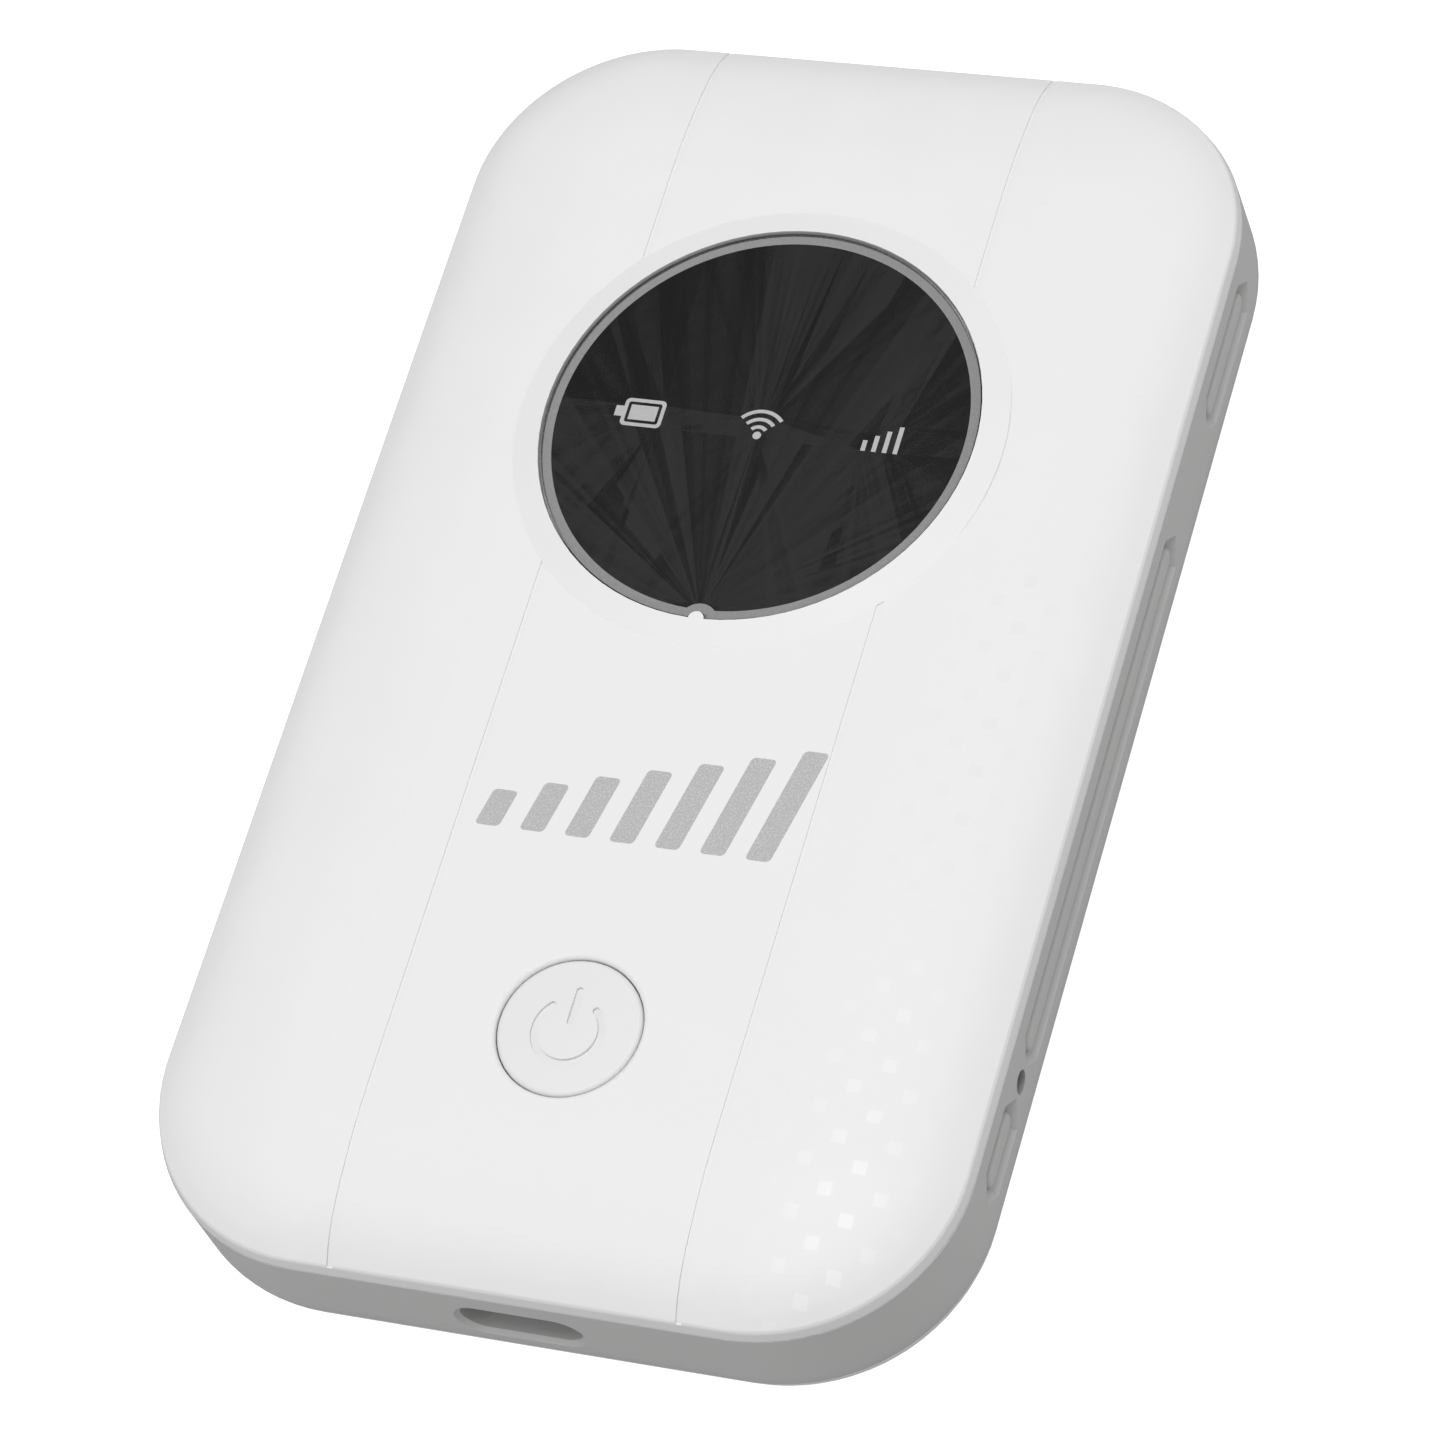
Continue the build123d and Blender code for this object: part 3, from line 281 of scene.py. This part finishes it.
def clear_acrylic():
    """The polished window over the display, with a ground rim."""
    shader = Shader("clear_acrylic", (1.0, 1.0, 1.0), 0.02, Transmission_Weight=1.0, IOR=1.49)
    # the glossy print behind gives the reflection seen from above; the window's own shows at a slant
    shader.bsdf.inputs["Specular Tint"].default_value = (0.0, 0.0, 0.0, 1.0)
    shader.link(shader.ramp(shader.noise(9.0), 0.3, 0.7, 0.015, 0.03), shader.bsdf.inputs["Roughness"])
    facing = shader.node("ShaderNodeNewGeometry")
    shader.link(facing.outputs["True Normal"], shader.bsdf.inputs["Normal"])
    upright = shader.node("ShaderNodeSeparateXYZ")
    shader.link(facing.outputs["True Normal"], upright.inputs[0])
    rim = shader.math("LESS_THAN", shader.math("ABSOLUTE", upright.outputs["Z"]), 0.3)
    ground = shader.node("ShaderNodeBsdfDiffuse")
    frosted = shader.mix(shader.noise(0.25), (0.10, 0.10, 0.10), (0.24, 0.24, 0.24))
    # the ground rim is frosted grey seen from inside; its outer face is painted near black as the shade in
    # the narrow gap round the window
    rim_frost_and_painted_shade = shader.mix(facing.outputs["Backfacing"], (0.012, 0.012, 0.012), frosted)
    shader.link(rim_frost_and_painted_shade, ground.inputs["Color"])
    body = shader.node("ShaderNodeMixShader")
    shader.link(rim, body.inputs[0])
    shader.link(shader.bsdf.outputs[0], body.inputs[1])
    shader.link(ground.outputs[0], body.inputs[2])
    # shadow rays pass straight through, so that the print under the window is lit
    open_air = shader.node("ShaderNodeBsdfTransparent")
    blend = shader.node("ShaderNodeMixShader")
    shader.link(shader.node("ShaderNodeLightPath").outputs["Is Shadow Ray"], blend.inputs[0])
    shader.link(body.outputs[0], blend.inputs[1])
    shader.link(open_air.outputs[0], blend.inputs[2])
    shader.link(blend.outputs[0], shader.tree.nodes["Material Output"].inputs["Surface"])
    return shader.material


def board():
    """Green solder mask over a faint net of copper tracks."""
    shader = Shader("board_green", (0.02, 0.13, 0.055), 0.35)
    tracks = shader.node("ShaderNodeTexBrick")
    tracks.inputs["Scale"].default_value = 180.0
    tracks.inputs["Mortar Size"].default_value = 0.012
    tracks.inputs["Color1"].default_value = (0.02, 0.13, 0.055, 1)
    tracks.inputs["Color2"].default_value = (0.025, 0.15, 0.065, 1)
    tracks.inputs["Mortar"].default_value = (0.028, 0.165, 0.072, 1)
    shader.link(shader.place, tracks.inputs["Vector"])
    shader.link(tracks.outputs["Color"], shader.bsdf.inputs["Base Color"])
    shader.grain(0.8, 0.006)
    return shader.material


FINISHES = {
    "white_shell": front_white(),
    "grey_shell": side_white_painted_shade(),
    "button_white": moulded("key_white", (0.76, 0.76, 0.76), 0.50).material,
    "lens_clear": clear_acrylic(),
    "print_black": ink("print_black", (0.006, 0.006, 0.006), 0.35, gloss=0.42),
    "print_grey": ink("print_grey", (0.40, 0.40, 0.40), 0.35, 0.05),
    "icon_white": ink("icon_white", (0.62, 0.62, 0.62), 0.4),
    "adhesive": moulded("foam_tape", (0.08, 0.08, 0.085), 0.8, 0.2, 0.02).material,
    "white_inner": moulded("reflector_white", (0.82, 0.82, 0.80), 0.5).material,
    "led": moulded("led_resin", (0.85, 0.78, 0.40), 0.25, 0.3, 0.002).material,
    "switch_black": moulded("switch_black", (0.02, 0.02, 0.02), 0.5).material,
    "rubber_dark": moulded("foam_rubber", (0.035, 0.035, 0.035), 0.9, 0.25, 0.03, 0.1).material,
    "steel": metal("stamped_steel", (0.62, 0.62, 0.61), 0.28).material,
    "tin_plate": metal("tin_plate", (0.70, 0.70, 0.68), 0.38, (1, 1, 1)).material,
    "gold": metal("contact_gold", (0.90, 0.66, 0.28), 0.25).material,
    "board_green": board(),
    "chip_black": moulded("chip_epoxy", (0.025, 0.025, 0.028), 0.6, 0.15, 0.008, 0.05).material,
    "ceramic": moulded("ceramic_brown", (0.38, 0.28, 0.18), 0.4, 0.2, 0.003, 0.08).material,
    "ferrite": moulded("ferrite_grey", (0.10, 0.10, 0.105), 0.6, 0.2, 0.01, 0.08).material,
    "copper_flex": metal("copper_flex", (0.80, 0.46, 0.26), 0.32).material,
    "cell_foil": metal("cell_foil", (0.62, 0.63, 0.65), 0.42, (1, 1, 1), 0.012).material,
    "label_white": moulded("label_film", (0.72, 0.72, 0.74), 0.5).material,
    "thermal": moulded("thermal_pad", (0.35, 0.48, 0.58), 0.75, 0.4, 0.02, 0.05).material,
}


FLAT_NODES = ("display_lens", "display_print", "display_border", "icon_print")
OWN_FINISH = {
    # the back cover's white plastic is painted brighter than the front's as painted light, the floor's light
    # on its rounded edge
    "battery_cover": moulded("back_white_painted_light", (0.95, 0.95, 0.945), 0.4).material,
}


def dress_cad_nodes():
    """Gives each CAD node the procedural material of its slot in the record."""
    for part in frame["record"]["subparts"]:
        node = frame["nodes"][part["node"]]
        node.data.materials.clear()
        node.data.materials.append(OWN_FINISH.get(part["node"], FINISHES[part["material_slot"]]))
        # shading normals that follow the large flat faces, not the thin chamfers beside them
        if part["node"] in FLAT_NODES:
            node.modifiers.new("flat_faces", "EDGE_SPLIT").split_angle = math.radians(5)
        even = node.modifiers.new("even_normals", "WEIGHTED_NORMAL")
        even.weight = 100
        even.keep_sharp = True


# ---- camera, floor and light --------------------------------------------------------------------
def make_camera():
    azimuth = math.radians(VIEW_AZIMUTH)
    elevation = math.radians(VIEW_ELEVATION)
    back = Vector((
        math.sin(azimuth) * math.cos(elevation),
        -math.cos(azimuth) * math.cos(elevation),
        math.sin(elevation),
    ))
    data = bpy.data.cameras.new("camera")
    data.lens = LENS_MM
    data.sensor_width = SENSOR_MM
    data.clip_start = 0.01
    camera = bpy.data.objects.new("camera", data)
    bpy.context.scene.collection.objects.link(camera)
    look = (-back).to_track_quat("-Z", "Y").to_matrix().to_4x4()
    place = Matrix.Translation(Vector(VIEW_TARGET) + back * VIEW_DISTANCE)
    camera.matrix_world = place @ look @ Matrix.Rotation(math.radians(VIEW_ROLL), 4, "Z")
    bpy.context.scene.camera = camera


def make_floor():
    """A plain pale floor, bright enough to read as white paper."""
    mesh = bpy.data.meshes.new("floor")
    half = 3.0
    z = cad_low.z - 0.0002
    corners = [(-half, -half, z), (half, -half, z), (half, half, z), (-half, half, z)]
    mesh.from_pydata(corners, [], [(0, 1, 2, 3)])
    floor = bpy.data.objects.new("floor", mesh)
    bpy.context.scene.collection.objects.link(floor)
    shader = Shader("floor_white", (0.44, 0.44, 0.44), 0.9, Specular_IOR_Level=0.1)
    glow = shader.node("ShaderNodeEmission")
    glow.inputs["Color"].default_value = (1.0, 1.0, 1.0, 1)
    glow.inputs["Strength"].default_value = 1.0
    seen = shader.node("ShaderNodeLightPath").outputs["Is Camera Ray"]
    both = shader.node("ShaderNodeAddShader")
    blend = shader.node("ShaderNodeMixShader")
    shader.link(shader.bsdf.outputs[0], both.inputs[0])
    shader.link(glow.outputs[0], both.inputs[1])
    shader.link(seen, blend.inputs[0])
    shader.link(shader.bsdf.outputs[0], blend.inputs[1])
    shader.link(both.outputs[0], blend.inputs[2])
    shader.link(blend.outputs[0], shader.tree.nodes["Material Output"].inputs["Surface"])
    mesh.materials.append(shader.material)


def area_light(name, place, size, watts):
    data = bpy.data.lights.new(name, "AREA")
    data.shape = "RECTANGLE"
    data.size, data.size_y = size
    data.energy = watts
    light = bpy.data.objects.new(name, data)
    light.location = place
    light.rotation_mode = "QUATERNION"
    light.rotation_quaternion = (Vector(VIEW_TARGET) - Vector(place)).to_track_quat("-Z", "Y")
    bpy.context.scene.collection.objects.link(light)


def make_light():
    world = bpy.data.worlds.new("studio")
    bpy.context.scene.world = world
    world.use_nodes = True
    sky = world.node_tree.nodes["Background"]
    sky.inputs["Color"].default_value = (1, 1, 1, 1)
    sky.inputs["Strength"].default_value = 0.36
    area_light("overhead", (-0.03, 0.02, 0.80), (0.5, 0.5), 3.85)
    area_light("end_fill", (-0.20, -0.50, 0.30), (0.5, 0.5), 0.6)
    area_light("side_fill", (0.55, 0.25, 0.30), (0.5, 0.5), 0.9)
    bpy.context.scene.view_settings.view_transform = "Standard"


# ---- printed mark on the face -------------------------------------------------------------------
PRINT_X = (-11.0, 10.0)
PRINT_FOOT_Y = -18.0
PRINT_BARS = 7
PRINT_BAR_W = 1.9
PRINT_FIRST_H = 3.0
PRINT_LAST_H = 9.2
PRINT_SLANT = 0.22
PRINT_T = 0.012
PRINT_CORNER = 0.35


def rounded_bar(x, height):
    """Outline of one slanted bar with rounded corners, in millimetres from its foot."""
    points = []
    half = PRINT_BAR_W / 2 - PRINT_CORNER
    for cx, cy, start in (
        (half, height - PRINT_CORNER, 0), (-half, height - PRINT_CORNER, 90),
        (-half, PRINT_CORNER, 180), (half, PRINT_CORNER, 270),
    ):
        for step in range(7):
            angle = math.radians(start + 15 * step)
            px = cx + PRINT_CORNER * math.cos(angle)
            py = cy + PRINT_CORNER * math.sin(angle)
            points.append((x + px + PRINT_SLANT * py, PRINT_FOOT_Y + py))
    return points


def make_print():
    """A row of rising slanted bars in silver ink on the cover's face."""
    face = face_height()
    mesh = bmesh.new()
    for bar in range(PRINT_BARS):
        share = bar / (PRINT_BARS - 1)
        x = PRINT_X[0] + (PRINT_X[1] - PRINT_X[0]) * share
        outline = rounded_bar(x, PRINT_FIRST_H + (PRINT_LAST_H - PRINT_FIRST_H) * share)
        low = [mesh.verts.new((px * MM, py * MM, face)) for px, py in outline]
        high = [mesh.verts.new((px * MM, py * MM, face + PRINT_T * MM)) for px, py in outline]
        count = len(outline)
        mesh.faces.new(high)
        mesh.faces.new(low[::-1])
        for i in range(count):
            mesh.faces.new((low[i], low[(i + 1) % count], high[(i + 1) % count], high[i]))
    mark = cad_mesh("front_print", mesh, ink("silver_ink", (0.45, 0.45, 0.45), 0.35, 0.10))
    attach(mark, "housing")


# ---- small pieces of the inside ------------------------------------------------------------------
def pad(mesh, x, y, low, width, length, height, corner):
    """A rounded tablet in millimetres that stands on the height low, with a softened upper edge."""
    soft = min(height / 2, corner / 2)
    rings = []
    for inset, z in ((0.0, low), (0.0, low + height - soft), (soft, low + height)):
        ring = []
        for sx, sy, start in ((1, 1, 0), (-1, 1, 90), (-1, -1, 180), (1, -1, 270)):
            for step in range(4):
                angle = math.radians(start + 30 * step)
                px = x + sx * (width / 2 - corner) + (corner - inset) * math.cos(angle)
                py = y + sy * (length / 2 - corner) + (corner - inset) * math.sin(angle)
                ring.append(mesh.verts.new((px * MM, py * MM, z * MM)))
        rings.append(ring)
    count = len(rings[0])
    for lower, upper in zip(rings, rings[1:]):
        for i in range(count):
            mesh.faces.new((lower[i], lower[(i + 1) % count], upper[(i + 1) % count], upper[i]))
    mesh.faces.new(rings[-1])
    mesh.faces.new(rings[0][::-1])


def outline_strips(mesh, x, y, low, width, length, line, height):
    """A printed rectangle drawn with four thin strips."""
    for side in (-1, 1):
        pad(mesh, x, y + side * length / 2, low, width + line, line, height, line / 3)
        pad(mesh, x + side * width / 2, y, low, line, length - line, height, line / 3)


def turned(mesh, x, y, profile, sides=24):
    """A ring or pin turned about a vertical line, from (radius, height) pairs in millimetres."""
    rings = []
    for radius, z in profile:
        rings.append([
            mesh.verts.new((
                (x + radius * math.cos(2 * math.pi * i / sides)) * MM,
                (y + radius * math.sin(2 * math.pi * i / sides)) * MM,
                z * MM,
            ))
            for i in range(sides)
        ])
    for first, second in zip(rings, rings[1:] + rings[:1]):
        for i in range(sides):
            mesh.faces.new((first[i], first[(i + 1) % sides], second[(i + 1) % sides], second[i]))
    # points on the axis become one
    bmesh.ops.remove_doubles(mesh, verts=mesh.verts, dist=0.0001 * MM)
    loose = [edge for edge in mesh.edges if not edge.link_faces]
    bmesh.ops.delete(mesh, geom=loose, context="EDGES")


def size_mm(node):
    """Centre, size and top of a CAD node, in millimetres."""
    low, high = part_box(node)
    middle = (low + high) / MM / 2
    return middle.x, middle.y, (high.x - low.x) / MM, (high.y - low.y) / MM, low.z / MM, high.z / MM


CONTACT_COUNT = 12
CONTACT_PITCH = 0.5
CONTACT_W = 0.26
CONTACT_L = 3.2
CONTACT_T = 0.04


def make_port_contacts():
    """Twelve gold contacts on each face of the port's tongue."""
    tongue = frame["nodes"]["usb_tongue"]
    points = [tongue.matrix_world @ vertex.co for vertex in tongue.data.vertices]
    front = min(point.y for point in points)
    tip = [point for point in points if point.y < front + MM]
    middle = sum(point.x for point in tip) / len(tip) / MM
    mesh = bmesh.new()
    y = front / MM + 0.5 + CONTACT_L / 2
    for low in (max(point.z for point in tip) / MM, min(point.z for point in tip) / MM - CONTACT_T):
        for i in range(CONTACT_COUNT):
            x = middle + (i - (CONTACT_COUNT - 1) / 2) * CONTACT_PITCH
            pad(mesh, x, y, low, CONTACT_W, CONTACT_L, CONTACT_T, 0.1)
    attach(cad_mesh("usb_contacts", mesh, FINISHES["gold"]), "housing")


SILK_T = 0.02
SILK_LINE = 0.15
DOT_R = 0.3


def make_board_print():
    """White part outlines and polarity dots printed on the board."""
    top = size_mm("main_pcb")[5]
    mesh = bmesh.new()
    for node, margin in (
        ("power_chip", 0.9), ("small_parts", 0.8), ("power_switch", 0.5), ("baseband_shield", 0.4),
        ("radio_shield", 0.4), ("main_antenna_carrier", 0.5), ("diversity_antenna_carrier", 0.35),
    ):
        x, y, width, length, _, _ = size_mm(node)
        outline_strips(mesh, x, y, top, width + 2 * margin, length + 2 * margin, SILK_LINE, SILK_T)
    x, y, width, length, _, _ = size_mm("power_chip")
    dot = ((0.0, top), (DOT_R, top), (DOT_R, top + SILK_T), (0.0, top + SILK_T))
    turned(mesh, x - width / 2 - 1.5, y + length / 2 + 1.2, dot)
    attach(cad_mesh("board_print", mesh, ink("silk_white", (0.80, 0.80, 0.78), 0.6)), "housing")


LEG_COUNT = 7
LEG_W = 0.28
LEG_PITCH = 0.62
LEG_REACH = (0.0, 0.25, 0.4, 0.75)
LEG_RISE = (0.5, 0.5, 0.08, 0.08)


def make_chip_legs():
    """Tinned legs along the four sides of the power chip."""
    x, y, width, length, low, _ = size_mm("power_chip")
    mesh = bmesh.new()
    for side in (-1, 1):
        for i in range(LEG_COUNT):
            along = (i - (LEG_COUNT - 1) / 2) * LEG_PITCH
            for turn in (0, 1):
                rows = []
                for step, rise in zip(LEG_REACH, LEG_RISE):
                    out = side * ((length if turn else width) / 2 + step)
                    ends = []
                    for across in (-LEG_W / 2, LEG_W / 2):
                        place = (x + along + across, y + out) if turn else (x + out, y + along + across)
                        ends.append(mesh.verts.new((place[0] * MM, place[1] * MM, (low + rise) * MM)))
                    rows.append(ends)
                for first, second in zip(rows, rows[1:]):
                    mesh.faces.new((first[0], first[1], second[1], second[0]))
    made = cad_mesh("chip_legs", mesh, FINISHES["tin_plate"])
    thick = made.modifiers.new("thickness", "SOLIDIFY")
    thick.thickness = 0.1 * MM
    thick.offset = 0.0
    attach(made, "housing")


SMALL_PART_GRID = (6, 2)
SMALL_PART_PITCH = 2.4
END_CAP_OUT = 0.5


def make_end_caps():
    """Tinned ends that wrap the small ceramic parts."""
    x, y, _, _, low, high = size_mm("small_parts")
    columns, rows = SMALL_PART_GRID
    mesh = bmesh.new()
    for column in range(columns):
        for row in range(rows):
            cx = x + (column - (columns - 1) / 2) * SMALL_PART_PITCH
            cy = y + (row - (rows - 1) / 2) * SMALL_PART_PITCH
            for end in (-1, 1):
                pad(mesh, cx, cy + end * END_CAP_OUT, low, 0.66, 0.28, high - low + 0.03, 0.06)
    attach(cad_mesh("part_ends", mesh, FINISHES["tin_plate"]), "housing")


SOCKET_SITES = ((-20.0, 30.0), (20.0, 30.0))


def make_test_sockets():
    """Two coaxial test sockets beside the radio parts, gold rings round a centre pin."""
    top = size_mm("main_pcb")[5]
    mesh = bmesh.new()
    for x, y in SOCKET_SITES:
        turned(mesh, x, y, ((0.75, top), (1.0, top), (1.0, top + 1.0), (0.92, top + 1.15), (0.78, top + 1.15),
                            (0.75, top + 1.05)))
        turned(mesh, x, y, ((0.0, top), (0.2, top), (0.2, top + 0.8), (0.12, top + 0.95), (0.0, top + 0.95)))
        pad(mesh, x, y, top, 2.5, 2.5, 0.15, 0.3)
    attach(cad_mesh("test_sockets", mesh, FINISHES["gold"]), "housing")


RULE_COUNT = 6
RULE_PITCH = 3.2
FILM_T = 0.02


def make_label_marks():
    """Plain frame, rules and polarity signs printed on the battery's label, whose face looks down."""
    x, y, width, length, low, _ = size_mm("battery_label")
    mesh = bmesh.new()
    outline_strips(mesh, x, y, low - FILM_T, width - 3, length - 3, 0.3, FILM_T)
    for row in range(RULE_COUNT):
        rule = (width - 14) * (1 - 0.09 * (row % 3))
        pad(mesh, x, y + length / 2 - 10 - RULE_PITCH * row, low - FILM_T, rule, 0.7, FILM_T, 0.2)
    for side, arms in ((-1, 1), (1, 2)):
        for arm in range(arms):
            wide, tall = (2.4, 0.6) if arm == 0 else (0.6, 2.4)
            pad(mesh, x + side * width / 4, y - length / 2 + 8, low - FILM_T, wide, tall, FILM_T, 0.15)
    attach(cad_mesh("label_marks", mesh, ink("label_ink", (0.10, 0.11, 0.13), 0.55)), "battery")


TAPE_L = 5.0
TAPE_T = 0.05


def make_cell_tape():
    """Amber tape that laps the cell's end where the protection board is fitted."""
    x, y, width, length, low, high = size_mm("battery_end_cap")
    mesh = bmesh.new()
    for z in (low - TAPE_T, high):
        pad(mesh, x, y - length / 2 - 0.2, z, width - 6.0, TAPE_L, TAPE_T, 0.4)
    amber = Shader("amber_tape", (0.62, 0.33, 0.06), 0.25, Specular_IOR_Level=0.6)
    amber.mottle(1.2, 0.12, 0.04)
    amber.grain(0.8, 0.01)
    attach(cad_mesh("cell_tape", mesh, amber.material), "battery")


dress_cad_nodes()
make_print()
make_port_contacts()
make_board_print()
make_chip_legs()
make_end_caps()
make_test_sockets()
make_label_marks()
make_cell_tape()
make_camera()
make_floor()
make_light()
